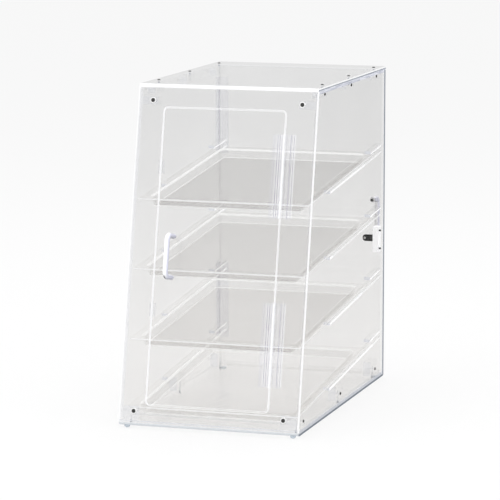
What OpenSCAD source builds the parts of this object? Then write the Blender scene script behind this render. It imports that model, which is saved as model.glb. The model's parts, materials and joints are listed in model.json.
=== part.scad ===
// Countertop bakery display case in clear acrylic: one bent sheet makes the top, the slanted
// front and the bottom, two side panels close it, four pitched trays slide on rails, and a
// flush front door and an overlaid rear door swing on knuckled hinges.
// Millimetres. Case axes: X to the right, Y to the rear, Z up.

/* [Case] */
// Outer width of the case
case_w = 346; // [320:1:380]
// Depth from the foot of the slanted front to the rear edge of the side panels
case_d = 600; // [590:1:640]
// Height of the bent sheet, without the feet
case_h = 622; // [610:1:640]
// How far the top edge of the front is set back from its foot
front_setback = 130; // [100:1:150]
// Thickness of the acrylic sheet
sheet = 6; // [5:0.5:6]
// Outer radius of the two bends in the sheet
bend_r = 10; // [8:0.5:14]
// How far the top overhangs the side panels at the rear
top_overhang = 7; // [7:0.5:12]
// Front edge of the second floor sheet
deck_start = 72; // [60:1:90]

/* [Front door] */
// Left edge of the door opening, from the middle of the case
opening_left = -122.5; // [-130:0.5:-110]
// Right edge of the door opening, from the middle of the case
opening_right = 114.8; // [105:0.5:120]
// Lower edge of the opening, measured up the slope
opening_bottom = 40.5; // [36:0.5:50]
// Upper edge of the opening, measured up the slope
opening_top = 593.5; // [560:0.5:596]
// Corner radius of the opening
opening_r = 10; // [6:0.5:16]
// Gap all round the front door
door_gap = 2; // [1.5:0.5:4]

/* [Rear door] */
// Gap between the rear door and the side panels behind it
rear_gap = 0.4; // [0.2:0.1:1]
// Gap above the rear door, and above the bench side of the bottom sheet
rear_edge_gap = 1; // [0.5:0.1:2]

/* [Hinges] */
// Length of a hinge
hinge_len = 154; // [120:1:170]
// Number of knuckles in a hinge
knuckles = 8; // [6:2:10]
// Width of a leaf from the hinge axis
leaf_w = 22; // [16:0.5:26]
// Thickness of a leaf
leaf_t = 2; // [1.5:0.1:2.4]
// Outer radius of the knuckles
knuckle_r = 3.5; // [3:0.1:4]
// Radius of the hinge pin
pin_r = 1.5; // [1:0.1:1.7]
// Radial clearance of the pin in the knuckles
pin_fit = 0.05; // [0.02:0.01:0.1]
// Foot of the lower front hinge, measured up the slope
front_hinge_low = 87; // [60:1:110]
// Foot of the upper front hinge, measured up the slope
front_hinge_high = 395; // [370:1:420]
// Foot of the lower rear hinge above the underside of the case
rear_hinge_low = 60; // [40:1:100]
// Foot of the upper rear hinge above the underside of the case
rear_hinge_high = 437; // [400:1:450]

/* [Handles] */
// Diameter of the handle rod
rod_d = 10; // [8:0.5:12]
// Distance between the two legs of a handle
handle_pitch = 76; // [64:1:96]
// Distance from the door face to the rod axis
handle_reach = 35; // [28:1:40]
// Bend radius of the rod axis
handle_bend = 11; // [8:0.5:14]
// Front handle position from the middle of the case
front_handle_x = -88; // [-100:1:-80]
// Rear handle position from the middle of the case
rear_handle_x = 148; // [140:1:150]
// Height of the middle of both handles, up the slope at the front
handle_mid = 316.5; // [300:0.5:330]

/* [Trays] */
// Number of trays
tray_count = 4; // [4:1:4]
// Width of a tray over its rim
tray_w = 330; // [320:1:331]
// Length of a tray over its rim
tray_l = 468; // [440:1:470]
// Depth of a tray from rim to underside
tray_depth = 20; // [16:0.5:22]
// Wall thickness of a tray
tray_t = 3; // [2:0.5:3]
// Width of the flat rim
rim_w = 15.5; // [15:0.5:17]
// Corner radius of the rim
rim_r = 4; // [2:0.5:12]
// Radius of the tray corners where the walls leave the rim
corner_r = 13; // [13:0.5:20]
// Angle between a tray wall and the rim
wall_angle = 72; // [70:1:80]
// Inside radius of the bend under the rim
lip_r = 1.5; // [1:0.5:2]
// Inside radius of the bend at the tray floor
floor_r = 1.5; // [1:0.5:2]
// Upward pitch of the trays towards the rear, in degrees
tray_pitch = 5.4; // [5:0.1:6]
// Height of the lowest rail's axis at the middle of the rails
rail_first_z = 63; // [63:0.5:66]
// Vertical distance between trays
tray_step = 124.7; // [122:0.1:127]
// Depth position where rail heights are measured
rail_ref_y = 425; // [420:1:430]
// Front end of the rails
rail_start = 230; // [220:1:240]
// Front end of the short keeper strips over the rails
keeper_start = 520; // [500:1:540]
// Width of rails and keepers, out from the side panel
rail_w = 12; // [10:0.5:13]
// Thickness of rails and keepers
rail_t = 6; // [5:0.5:6]
// Clear height between a rail and its keeper
rim_slot = 7; // [6.5:0.1:8]

/* [Fasteners] */
// Shank radius of the screws
shank_r = 1.75; // [1.5:0.05:2]
// Head radius of the small screws
head_r = 2.9; // [2.8:0.1:4]
// Head height of the small screws
head_h = 1.8; // [1.5:0.1:3]
// Head radius of the large front screws
front_head_r = 3.75; // [3.5:0.05:4.5]
// Height of the front screws' washers
washer_h = 1.5; // [1:0.1:2]
// Radius of the front screws' washers
washer_r = 5.4; // [5:0.1:7]
// Position of the four front screws from the middle of the case
front_screw_x = 144; // [140:0.5:148]
// Distance of the front screws from the lower end of the slope
front_screw_low = 28.8; // [27:0.1:30]
// Position of the upper front screws up the slope
front_screw_high = 605; // [602:0.5:608]
// Side of the square corner blocks
block = 15; // [14:0.5:18]
// Length of the corner blocks
block_l = 50; // [46:1:56]
// Height of the blocks on the floor
base_block_h = 28; // [26:0.5:30]
// Distance between the two screws of a block
block_pitch = 31; // [28:0.5:33]

/* [Catch] */
// Width of the catch body, out from the side panel
catch_w = 11; // [10:0.5:13]
// Depth of the catch body
catch_d = 20; // [18:0.5:24]
// Height of the catch body
catch_h = 51; // [46:1:54]
// Height of the middle of the catch above the underside of the case
catch_z = 278.5; // [270:0.5:285]
// Length of the strike plate
strike_l = 35; // [30:0.5:35]
// Height of the strike plate
strike_h = 13.3; // [12:0.1:15]
// Thickness of the strike plate
strike_t = 1.5; // [1:0.1:1.6]

/* [Feet] */
// Radius of a foot
foot_r = 5.5; // [5:0.5:8]
// Height of a foot
foot_h = 5; // [4:0.5:8]
// Foot position from the middle of the case
foot_x = 160; // [150:1:162]
// Radius of a foot's flat end, as a share of its full radius
foot_flat = 0.45; // [0.3:0.05:0.8]

/* [Hidden] */

$fn = 48;
skin = 0.01;          // overshoot of a cut past a face
glue_line = 0.02;     // gap behind a sheet for the glue
half_w = case_w / 2;
inner_x = half_w - sheet;
lean = atan(front_setback / case_h);
pitch_tan = tan(tray_pitch);

// Bends: centres of both, and the direction square to the front, into the case
square_y = cos(lean);
square_z = -sin(lean);
low_bend = [bend_r * tan(45 + lean / 2), bend_r];
high_bend = [front_setback + bend_r * tan(45 - lean / 2), case_h - bend_r];
inner_bend_r = bend_r - sheet;

// Rear door planes and hinge axis
rear_in_y = case_d + rear_gap;
rear_out_y = rear_in_y + sheet;
deck_fit = 0.1;                             // play of the second floor sheet at each side
rear_door_half = half_w - 0.3;              // the rear door ends just inside the case's sides
rear_axis = [-half_w - knuckle_r, rear_out_y + knuckle_r];
front_axis_x = opening_right - door_gap / 2;

// Front door edges
door_left = opening_left + door_gap;
door_right = opening_right - door_gap;
door_bottom = opening_bottom + door_gap;
door_top = opening_top - door_gap;
door_r = opening_r - door_gap;

// Screws
head_tip = 0.62;                            // radius of a head's flat end, as a share of its rim
head_rim = 0.55;                            // height of a head's straight rim, as a share of the head
hole_r = shank_r + 0.05;                    // the screws have this much play all round
screw_in = block / 2;                       // from the inner faces
top_screw_z = case_h - sheet - screw_in;
base_side_z = 26;
top_block_y = [184, 366, 549];
base_block_y = [299, 553];
screw_l = 17;                               // shank length of the screws in the blocks
base_screw_l = 18;                          // shank length of the bottom screws
past = 4;                                   // overshoot of a screw hole past a sheet
hole_l = 13;                                // depth of the holes in the top and base blocks
front_hole_l = 20;                          // depth of the front screws' holes behind the front
step_hole_l = 15;                           // depth of the side screw's hole beside the tray stop
step_hole_top = 19;                         // upper end of the bottom screw's hole beside the tray stop
handle_screw_in = 12;                       // length of a handle screw in the rod
handle_hole_l = 14;                         // depth of its hole
front_block_d = 15;                         // depth of the front blocks behind the sheet
front_block_x = 136;                        // inner end of the front blocks
stop_w = 12;                                // width of the stops behind the front door's free edge
stop_t = 3;                                 // their thickness
stop_l = 25;                                // their length up the slope
stop_places = [205, 470];                   // their lower ends, up the slope
stop_block_h = 36;                          // height of the tray stop in front of the lowest tray
step_block_h = 27.6;                        // height of the block's step under the tray rim
step_block_d = 15;
low_block_y = 27;                           // rear face of the tray stop
step_screw_y = low_block_y + step_block_d / 2;
step_screw_z = 23.5;

// Frame of the whole part: centre of the outline at bench level
outline_left = -half_w - 2 * knuckle_r;
outline_right = half_w + head_h;
outline_front = (front_screw_low - front_head_r * head_tip) * sin(lean) - (washer_h + head_h) * cos(lean);
outline_rear = rear_out_y + handle_reach + rod_d / 2;

module place() {
    translate([-(outline_left + outline_right) / 2, -(outline_front + outline_rear) / 2, foot_h])
        children();
}

// Front frame: X stays, Y points into the case, Z runs up the slope from the foot of the front
module on_front() {
    place() rotate([-lean, 0, 0]) children();
}

// Tray frame at level i, counted from the top: Y runs up along the rails, Z is square to them
function rail_z(i) = rail_first_z + (tray_count - i) * tray_step;
module on_rails(i) {
    place() translate([0, rail_ref_y, rail_z(i)]) rotate([tray_pitch, 0, 0]) children();
}

module both_sides() {
    children();
    mirror([1, 0, 0]) children();
}

module rounded_plate(x0, z0, x1, z1, r, depth) {
    rotate([90, 0, 0]) translate([0, 0, -depth]) linear_extrude(depth) {
        translate([x0 + r, z0]) square([x1 - x0 - 2 * r, z1 - z0]);
        translate([x0, z0 + r]) square([x1 - x0, z1 - z0 - 2 * r]);
        for (x = [x0 + r, x1 - r], z = [z0 + r, z1 - r]) translate([x, z]) circle(r);
    }
}

// ---- Bent sheet and panels ----

module across(width) {
    translate([-width / 2, 0, 0]) rotate([90, 0, 90]) linear_extrude(width) children();
}

module bent_outline(r, inset, rear) {
    polygon([
        [low_bend[0], inset],
        [rear, inset],
        [rear, case_h - inset],
        [high_bend[0], case_h - inset],
        high_bend - r * [square_y, square_z],
        low_bend - r * [square_y, square_z]
    ]);
}

module wrap_profile() {
    difference() {
        union() {
            bent_outline(bend_r, 0, case_d);
            translate([case_d - 1, case_h - sheet]) square([top_overhang + 1, sheet]);
            translate(low_bend) circle(bend_r);
            translate(high_bend) circle(bend_r);
        }
        bent_outline(inner_bend_r, sheet, case_d + 1);
        translate(low_bend) circle(inner_bend_r);
        translate(high_bend) circle(inner_bend_r);
    }
}

module front_screw_places() {
    for (side = [-1, 1], s = [front_screw_low, front_screw_high])
        translate([side * front_screw_x, 0, s]) children();
}

module top_screw_places() {
    both_sides() for (y = top_block_y)
        translate([inner_x - screw_in, y + block_pitch / 2, case_h]) children();
}

module base_screw_places() {
    both_sides() {
        translate([inner_x - screw_in, step_screw_y, 0]) children();
        for (y = base_block_y) translate([inner_x - screw_in, y + block_pitch / 2, 0]) children();
    }
}

module side_screw_places() {
    for (y = top_block_y) translate([half_w, y - block_pitch / 2, top_screw_z]) children();
    for (y = base_block_y) translate([half_w, y - block_pitch / 2, base_side_z]) children();
    translate([half_w, step_screw_y, step_screw_z]) children();
}

module drill(axis, length) {
    rotate(axis) translate([0, 0, -length]) cylinder(r = hole_r, h = 2 * length);
}

module wrap_sheet() {
    color([0.86, 0.88, 0.88, 0.35]) {
        difference() {
            place() across(case_w) wrap_profile();
            on_front() translate([0, -sheet, 0])
                rounded_plate(opening_left, opening_bottom, opening_right, opening_top, opening_r,
                    3 * sheet);
            on_front() front_screw_places() drill([90, 0, 0], sheet + past);
            place() top_screw_places() drill([0, 0, 0], sheet + past);
            place() base_screw_places() drill([0, 0, 0], sheet + past);
        }
    }
}

module side_panel() {
    translate([inner_x, 0, 0]) rotate([90, 0, 90]) linear_extrude(sheet)
        bent_outline(inner_bend_r, sheet, case_d);
}

module side_panel_right() {
    color([0.86, 0.88, 0.88, 0.35]) place() difference() {
        side_panel();
        side_screw_places() drill([0, 90, 0], sheet + past);
        catch_screw_places() translate([-past, 0, 0]) rotate([0, 90, 0])
            cylinder(r = hole_r, h = past + catch_screw_in + 0.2);
    }
}

module side_panel_left() {
    color([0.86, 0.88, 0.88, 0.35]) place() mirror([1, 0, 0]) difference() {
        side_panel();
        side_screw_places() drill([0, 90, 0], sheet + past);
    }
}

module floor_deck() {
    color([0.8, 0.84, 0.86, 0.5]) place() difference() {
        translate([-inner_x + deck_fit, deck_start, sheet])
            cube([2 * (inner_x - deck_fit), case_d - 1 - deck_start, sheet]);
        base_screw_places() drill([0, 0, 0], 4 * sheet);
    }
}

// ---- Blocks that hold the sheets together ----

function front_in_y(z) = z * tan(lean) + sheet / cos(lean);

module low_front_block() {
    difference() {
        union() {
            translate([front_block_x, 0, 0]) rotate([90, 0, 90]) linear_extrude(inner_x - front_block_x)
                polygon([
                    [low_bend[0], sheet],
                    [low_block_y, sheet],
                    [low_block_y, stop_block_h],
                    [front_in_y(stop_block_h), stop_block_h],
                    low_bend - inner_bend_r * [square_y, square_z]
                ]);
            translate([inner_x - block, low_block_y - 1, sheet])
                cube([block, step_block_d + 1, step_block_h - sheet]);
        }
        translate([inner_x, step_screw_y, step_screw_z]) rotate([0, -90, 0])
            translate([0, 0, -1]) cylinder(r = hole_r, h = step_hole_l);
        translate([inner_x - screw_in, step_screw_y, 0]) cylinder(r = hole_r, h = step_hole_top);
        rotate([-lean, 0, 0]) translate([front_screw_x, front_hole_l, front_screw_low]) rotate([90, 0, 0])
            cylinder(r = hole_r, h = front_hole_l);
    }
}

module high_front_block() {
    rotate([-lean, 0, 0]) difference() {
        translate([front_block_x, sheet + glue_line, front_screw_high - block / 2])
            cube([inner_x - front_block_x, front_block_d, block]);
        translate([front_screw_x, front_hole_l - 1, front_screw_high]) rotate([90, 0, 0])
            cylinder(r = hole_r, h = front_hole_l);
    }
}

module front_corner_blocks() {
    color([0.9, 0.92, 0.93, 0.6]) place() both_sides() {
        low_front_block();
        high_front_block();
    }
}

module top_corner_blocks() {
    color([0.9, 0.92, 0.93, 0.6]) place() both_sides() for (y = top_block_y) difference() {
        translate([inner_x - block, y - block_l / 2, case_h - sheet - block]) cube([block, block_l, block]);
        translate([inner_x + 1, y - block_pitch / 2, top_screw_z]) rotate([0, -90, 0])
            cylinder(r = hole_r, h = hole_l);
        translate([inner_x - screw_in, y + block_pitch / 2, case_h - sheet - hole_l + 1])
            cylinder(r = hole_r, h = hole_l);
    }
}

module base_corner_blocks() {
    color([0.9, 0.92, 0.93, 0.6]) place() both_sides() for (y = base_block_y) difference() {
        translate([inner_x - block, y - block_l / 2, 2 * sheet]) cube([block, block_l, base_block_h]);
        translate([inner_x + 1, y - block_pitch / 2, base_side_z]) rotate([0, -90, 0])
            cylinder(r = hole_r, h = hole_l);
        translate([inner_x - screw_in, y + block_pitch / 2, 2 * sheet - 1])
            cylinder(r = hole_r, h = hole_l);
    }
}

// ---- Screws: head above Z = 0, shank below ----

module pan_screw(r, length) {
    cylinder(r = r, h = head_h * head_rim);
    translate([0, 0, head_h * head_rim]) cylinder(r1 = r, r2 = r * head_tip, h = head_h * (1 - head_rim));
    translate([0, 0, -length]) cylinder(r = shank_r, h = length + skin);
}

module front_screws() {
    color([0.08, 0.08, 0.09]) on_front() front_screw_places()
        translate([0, -washer_h, 0]) rotate([90, 0, 0]) pan_screw(front_head_r, screw_l);
}

module front_screw_washers() {
    color([0.93, 0.93, 0.93]) on_front() front_screw_places() rotate([90, 0, 0]) difference() {
        cylinder(r = washer_r, h = washer_h - skin);
        translate([0, 0, -1]) cylinder(r = hole_r, h = washer_h + 2);
    }
}

module side_screws() {
    color([0.12, 0.12, 0.13]) place() both_sides()
        side_screw_places() rotate([0, 90, 0]) pan_screw(head_r, screw_l);
}

module top_screws() {
    color([0.12, 0.12, 0.13]) place() top_screw_places() pan_screw(head_r, screw_l);
}

module base_screws() {
    color([0.12, 0.12, 0.13]) place() base_screw_places() rotate([180, 0, 0]) pan_screw(head_r, base_screw_l);
}

// ---- Doors ----

module handle_screw_places() {
    for (side = [-1, 1]) translate([0, 0, handle_mid + side * handle_pitch / 2]) children();
}

module front_door() {
    color([0.88, 0.9, 0.9, 0.35]) on_front() difference() {
        rounded_plate(door_left, door_bottom, door_right, door_top, door_r, sheet);
        translate([front_handle_x, 0, 0]) handle_screw_places() drill([90, 0, 0], sheet + past);
    }
}

module front_door_stops() {
    color([0.9, 0.92, 0.93, 0.6]) on_front() for (s = stop_places)
        translate([opening_left - stop_w / 2, sheet + glue_line, s]) cube([stop_w, stop_t, stop_l]);
}

module rear_door() {
    color([0.88, 0.9, 0.9, 0.35]) place() difference() {
        translate([-rear_door_half, rear_in_y, rear_edge_gap])
            cube([2 * rear_door_half, sheet, case_h - sheet - 2 * rear_edge_gap]);
        translate([rear_handle_x, rear_in_y, 0]) handle_screw_places() drill([90, 0, 0], sheet + past);
        translate([strike_screw_x, rear_in_y, catch_z]) rotate([-90, 0, 0])
            translate([0, 0, -1]) cylinder(r = strike_hole_r, h = strike_shank_in + 1.2);
    }
}

// Handle in a frame with Z along the rod and +Y away from the door face
module handle() {
    straight = handle_pitch / 2 - handle_bend;
    leg = handle_reach - handle_bend;
    for (side = [-1, 1]) difference() {
        translate([0, 0, side * handle_pitch / 2]) rotate([-90, 0, 0]) cylinder(d = rod_d, h = leg);
        translate([0, -skin, side * handle_pitch / 2]) rotate([-90, 0, 0])
            cylinder(r = hole_r, h = handle_hole_l);
    }
    translate([0, handle_reach, -straight]) cylinder(d = rod_d, h = 2 * straight);
    for (side = [0, 1]) mirror([0, 0, side]) translate([0, leg, straight])
        rotate([0, -90, 0]) rotate_extrude(angle = 90)
            translate([handle_bend, 0]) circle(d = rod_d);
}

module front_door_handle() {
    color([0.95, 0.95, 0.96]) on_front() translate([front_handle_x, 0, handle_mid])
        mirror([0, 1, 0]) handle();
}

module rear_door_handle() {
    color([0.95, 0.95, 0.96]) place() translate([rear_handle_x, rear_out_y, handle_mid]) handle();
}

module front_handle_screws() {
    color([0.12, 0.12, 0.13]) on_front() translate([front_handle_x, sheet, 0]) handle_screw_places()
        rotate([-90, 0, 0]) pan_screw(head_r, sheet + handle_screw_in);
}

module rear_handle_screws() {
    color([0.12, 0.12, 0.13]) place() translate([rear_handle_x, rear_in_y, handle_mid]) {
        translate([0, 0, handle_pitch / 2]) rotate([90, 0, 0]) pan_screw(head_r, sheet + handle_screw_in);
        translate([0, -strike_t, -handle_pitch / 2]) rotate([90, 0, 0])
            pan_screw(head_r, strike_t + sheet + handle_screw_in);
    }
}

// ---- Trays, rails and keepers ----

rim_play = 0.1;                             // between a rail and the rim that rests on it
rim_top = rail_t / 2 + rim_play + tray_t;   // rim top above the rail axis
touch_gap = 1.5;                            // between a tray's rim and the slanted front
stop_gap = 1.6;                             // between the lowest tray's rim and its stop
rail_end_gap = 2;                           // between a rail's end and the rear edge
bend_steps = 6;
bend_sum = lip_r + tray_t + floor_r;
wall_straight = (tray_depth - tray_t - bend_sum * (1 - cos(wall_angle))) / sin(wall_angle);
wall_reach = bend_sum * sin(wall_angle) + wall_straight * cos(wall_angle);
function touch_y(i) = (tan(lean) * (rail_z(i) - rail_ref_y * pitch_tan + rim_top / cos(tray_pitch))
    + sheet / cos(lean) + touch_gap) / (1 - tan(lean) * pitch_tan);
function tray_front_y(i) = i == tray_count ? low_block_y + stop_gap : touch_y(i);

// Section of a tray wall, from the rim through both bends to the floor. X points outwards from
// the centre of a corner, and Y = 0 is the top of the rim.
function turned(centre, r, angle) = centre + r * [cos(angle), sin(angle)];
function arc(centre, r, from, to) =
    [for (k = [0 : bend_steps]) turned(centre, r, from + k * (to - from) / bend_steps)];

module wall_section() {
    lip = [corner_r, -tray_t - lip_r];
    foot = [corner_r - wall_reach, tray_t - tray_depth + floor_r];
    polygon(concat(
        [[corner_r + 2, -tray_t], [corner_r + 2, 0]],
        arc(lip, lip_r + tray_t, 90, 90 + wall_angle),
        arc(foot, floor_r, 270 + wall_angle, 270),
        [[foot[0] - 3, tray_t - tray_depth], [foot[0] - 3, -tray_depth]],
        arc(foot, floor_r + tray_t, 270, 270 + wall_angle),
        arc(lip, lip_r, 90 + wall_angle, 90)
    ));
}

// Plate with rounded corners, the given distance inside the outline of the tray
module tray_plate(inset, r, z, thickness) {
    w = tray_w / 2 - inset;
    translate([0, 0, z]) linear_extrude(thickness) {
        translate([-w + r, inset]) square([2 * (w - r), tray_l - 2 * inset]);
        translate([-w, inset + r]) square([2 * w, tray_l - 2 * (inset + r)]);
        for (x = [-1, 1] * (w - r), y = [inset + r, tray_l - inset - r]) translate([x, y]) circle(r);
    }
}

module formed_tray() {
    centre = rim_w + corner_r;
    w = tray_w / 2 - centre;
    l = tray_l - 2 * centre;
    difference() {
        tray_plate(0, rim_r, -tray_t, tray_t);
        tray_plate(rim_w - 1, corner_r + 1, -tray_t - 1, tray_t + 2);
    }
    tray_plate(centre - corner_r + wall_reach + 1, corner_r - wall_reach - 1, -tray_depth, tray_t);
    for (x = [0, 1], y = [0, 1]) translate([0, y * tray_l, 0]) mirror([x, 0, 0]) mirror([0, y, 0])
        translate([w, centre, 0]) rotate([0, 0, -90]) rotate_extrude(angle = 90) wall_section();
    for (x = [0, 1]) mirror([x, 0, 0]) translate([w, centre + l, 0])
        rotate([90, 0, 0]) linear_extrude(l) wall_section();
    for (y = [0, 1]) translate([0, y * tray_l, 0]) mirror([0, y, 0]) translate([-w, centre, 0])
        rotate([90, 0, -90]) translate([0, 0, -2 * w]) linear_extrude(2 * w) wall_section();
}

module tray(i) {
    front = (tray_front_y(i) - rail_ref_y + rim_top * sin(tray_pitch)) / cos(tray_pitch);
    color([0.9, 0.92, 0.93, 0.5]) on_rails(i) translate([0, front, rim_top]) formed_tray();
}

module strip(start, z) {
    length = (case_d - rail_end_gap - start) / cos(tray_pitch);
    translate([inner_x - rail_w, (start - rail_ref_y) / cos(tray_pitch), z - rail_t / 2])
        cube([rail_w, length, rail_t]);
}

module rail(i, side) {
    color([0.95, 0.96, 0.97, 0.8]) on_rails(i) mirror([side < 0 ? 1 : 0, 0, 0]) strip(rail_start, 0);
}

module keeper(i, side) {
    color([0.95, 0.96, 0.97, 0.8]) on_rails(i) mirror([side < 0 ? 1 : 0, 0, 0])
        strip(keeper_start, rail_t + rim_slot);
}

// ---- Hinges: axis along Z from Z = 0, leaf towards +X, mounting face at Y = -knuckle_r ----

knuckle_gap = 0.4;                          // between two knuckles
plate_gap = 0.7;                            // between a leaf's plate and the other leaf's knuckles

module leaf(first) {
    knuckle = hinge_len / knuckles;
    plate_from = knuckle_r + plate_gap;
    difference() {
        union() {
            translate([plate_from, -knuckle_r, 0]) cube([leaf_w - plate_from, leaf_t, hinge_len]);
            for (k = [first : 2 : knuckles - 1]) translate([0, 0, k * knuckle + knuckle_gap / 2]) {
                cylinder(r = knuckle_r, h = knuckle - knuckle_gap);
                translate([0, -knuckle_r, 0]) cube([plate_from + 1, leaf_t, knuckle - knuckle_gap]);
            }
        }
        translate([0, 0, -1]) cylinder(r = pin_r + pin_fit, h = hinge_len + 2);
    }
}

module hinge_pin() {
    cylinder(r = pin_r, h = hinge_len);
}

module at_front_hinge(s) {
    on_front() translate([front_axis_x, -knuckle_r, s]) children();
}

module at_rear_hinge(z) {
    place() translate([rear_axis[0], rear_axis[1], z]) children();
}

module front_frame_leaf(s) {
    color([0.92, 0.93, 0.94, 0.7]) at_front_hinge(s) mirror([0, 1, 0]) leaf(1);
}

module front_door_leaf(s) {
    color([0.92, 0.93, 0.94, 0.7]) at_front_hinge(s) rotate([0, 0, 180]) leaf(0);
}

module rear_case_leaf(z) {
    color([0.92, 0.93, 0.94, 0.7]) at_rear_hinge(z) rotate([0, 0, -90]) mirror([0, 1, 0]) leaf(1);
}

module rear_door_leaf(z) {
    color([0.92, 0.93, 0.94, 0.7]) at_rear_hinge(z) leaf(0);
}

// ---- Magnetic catch ----

catch_gap = 0.3;                            // between the catch and the strike plate
catch_rear_y = rear_in_y - strike_t - catch_gap;
catch_front_y = catch_rear_y - catch_d;
catch_screw_in = 4;                         // length of a catch screw in the side panel
catch_screw_y = 7;                          // from the front face of the catch
catch_screw_z = 18;                         // from the middle of the catch
strike_side_gap = 2;                        // from the side panel
strike_screw_in = 4.5;                      // from the free end of the plate to its small screw
strike_corner_r = 6;
strike_hole_r = 1.3;
strike_shank_r = 1.25;
strike_shank_in = 4;                        // length of the strike screw in the rear door
strike_head_r = 2.4;
strike_head_h = 1.2;
strike_x = inner_x - strike_side_gap - strike_l;
strike_screw_x = strike_x + strike_screw_in;
magnet = [5, 9, 32];
magnet_fit = 0.1;                           // play round the magnet
magnet_x = inner_x - catch_w / 2 - magnet[0] / 2;

module catch_screw_places() {
    for (side = [-1, 1]) translate([inner_x, catch_front_y + catch_screw_y, catch_z + side * catch_screw_z])
        children();
}

module catch_body() {
    color([0.93, 0.94, 0.95]) place() difference() {
        translate([inner_x - catch_w, catch_front_y, catch_z - catch_h / 2])
            cube([catch_w, catch_d, catch_h]);
        catch_screw_places() rotate([0, -90, 0]) translate([0, 0, -1])
            cylinder(r = hole_r, h = catch_w + 2);
        translate([magnet_x - magnet_fit, catch_rear_y - magnet[1], catch_z - magnet[2] / 2 - magnet_fit])
            cube([magnet[0] + 2 * magnet_fit, magnet[1] + 1, magnet[2] + 2 * magnet_fit]);
    }
}

module catch_magnet() {
    color([0.25, 0.25, 0.27]) place()
        translate([magnet_x, catch_rear_y - magnet[1] + magnet_fit, catch_z - magnet[2] / 2]) cube(magnet);
}

module catch_screws() {
    color([0.12, 0.12, 0.13]) place() catch_screw_places() translate([-catch_w, 0, 0])
        rotate([0, -90, 0]) pan_screw(head_r, catch_w + catch_screw_in);
}

module strike_plate() {
    color([0.07, 0.07, 0.08]) place() difference() {
        translate([0, rear_in_y - strike_t, 0])
            rounded_plate(strike_x, catch_z - strike_h / 2, strike_x + strike_l, catch_z + strike_h / 2,
                strike_corner_r, strike_t);
        translate([rear_handle_x, rear_in_y, catch_z]) drill([90, 0, 0], 3 * strike_t);
        translate([strike_screw_x, rear_in_y, catch_z]) rotate([90, 0, 0])
            translate([0, 0, -1]) cylinder(r = strike_hole_r, h = strike_t + 2);
    }
}

module strike_screw() {
    color([0.75, 0.75, 0.77]) place() translate([strike_screw_x, rear_in_y - strike_t, catch_z]) {
        rotate([90, 0, 0]) cylinder(r = strike_head_r, h = strike_head_h);
        rotate([-90, 0, 0]) translate([0, 0, -skin])
            cylinder(r = strike_shank_r, h = strike_t + strike_shank_in);
    }
}

// ---- Feet ----

foot_places = [14, case_d - 8];             // depth positions of the feet
crown_r = 0.78;                             // radius where the crown ends, as a share of the full radius
crown_h = 0.24;                             // height of that place, as a share of the full height
body_h = 0.62;                              // height where the full radius starts, as the same share

// Soft bumper with a crowned underside and a small flat end
module bumper() {
    rotate_extrude() polygon([
        [0, 0],
        [foot_r * foot_flat, 0],
        [foot_r * crown_r, foot_h * crown_h],
        [foot_r, foot_h * body_h],
        [foot_r, foot_h],
        [0, foot_h]
    ]);
}

module feet() {
    color([0.62, 0.65, 0.68]) place() both_sides() for (y = foot_places)
        translate([foot_x, y, -foot_h]) bumper();
}

wrap_sheet();
side_panel_left();
side_panel_right();
floor_deck();
front_door();
front_door_handle();
front_handle_screws();
front_door_stops();
rear_door();
rear_door_handle();
rear_handle_screws();
tray(1);  // tray_1
tray(2);  // tray_2
tray(3);  // tray_3
tray(4);  // tray_4
rail(1, -1);  // rail_left_1
rail(2, -1);  // rail_left_2
rail(3, -1);  // rail_left_3
rail(4, -1);  // rail_left_4
rail(1, 1);  // rail_right_1
rail(2, 1);  // rail_right_2
rail(3, 1);  // rail_right_3
rail(4, 1);  // rail_right_4
keeper(1, -1);  // keeper_left_1
keeper(2, -1);  // keeper_left_2
keeper(3, -1);  // keeper_left_3
keeper(4, -1);  // keeper_left_4
keeper(1, 1);  // keeper_right_1
keeper(2, 1);  // keeper_right_2
keeper(3, 1);  // keeper_right_3
keeper(4, 1);  // keeper_right_4
front_frame_leaf(front_hinge_high);  // front_hinge_upper_frame_leaf
front_door_leaf(front_hinge_high);  // front_hinge_upper_door_leaf
at_front_hinge(front_hinge_high) hinge_pin();  // front_hinge_upper_pin
front_frame_leaf(front_hinge_low);  // front_hinge_lower_frame_leaf
front_door_leaf(front_hinge_low);  // front_hinge_lower_door_leaf
at_front_hinge(front_hinge_low) hinge_pin();  // front_hinge_lower_pin
rear_case_leaf(rear_hinge_high);  // rear_hinge_upper_case_leaf
rear_door_leaf(rear_hinge_high);  // rear_hinge_upper_door_leaf
at_rear_hinge(rear_hinge_high) hinge_pin();  // rear_hinge_upper_pin
rear_case_leaf(rear_hinge_low);  // rear_hinge_lower_case_leaf
rear_door_leaf(rear_hinge_low);  // rear_hinge_lower_door_leaf
at_rear_hinge(rear_hinge_low) hinge_pin();  // rear_hinge_lower_pin
front_corner_blocks();
top_corner_blocks();
base_corner_blocks();
front_screws();
front_screw_washers();
side_screws();
top_screws();
base_screws();
catch_body();
catch_magnet();
catch_screws();
strike_plate();
strike_screw();
feet();
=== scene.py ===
"""Looks of the bakery display case: clear acrylic sheets whose cut edges carry a bright painted glow, on a
white studio floor.
"""
import json
import math

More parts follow.
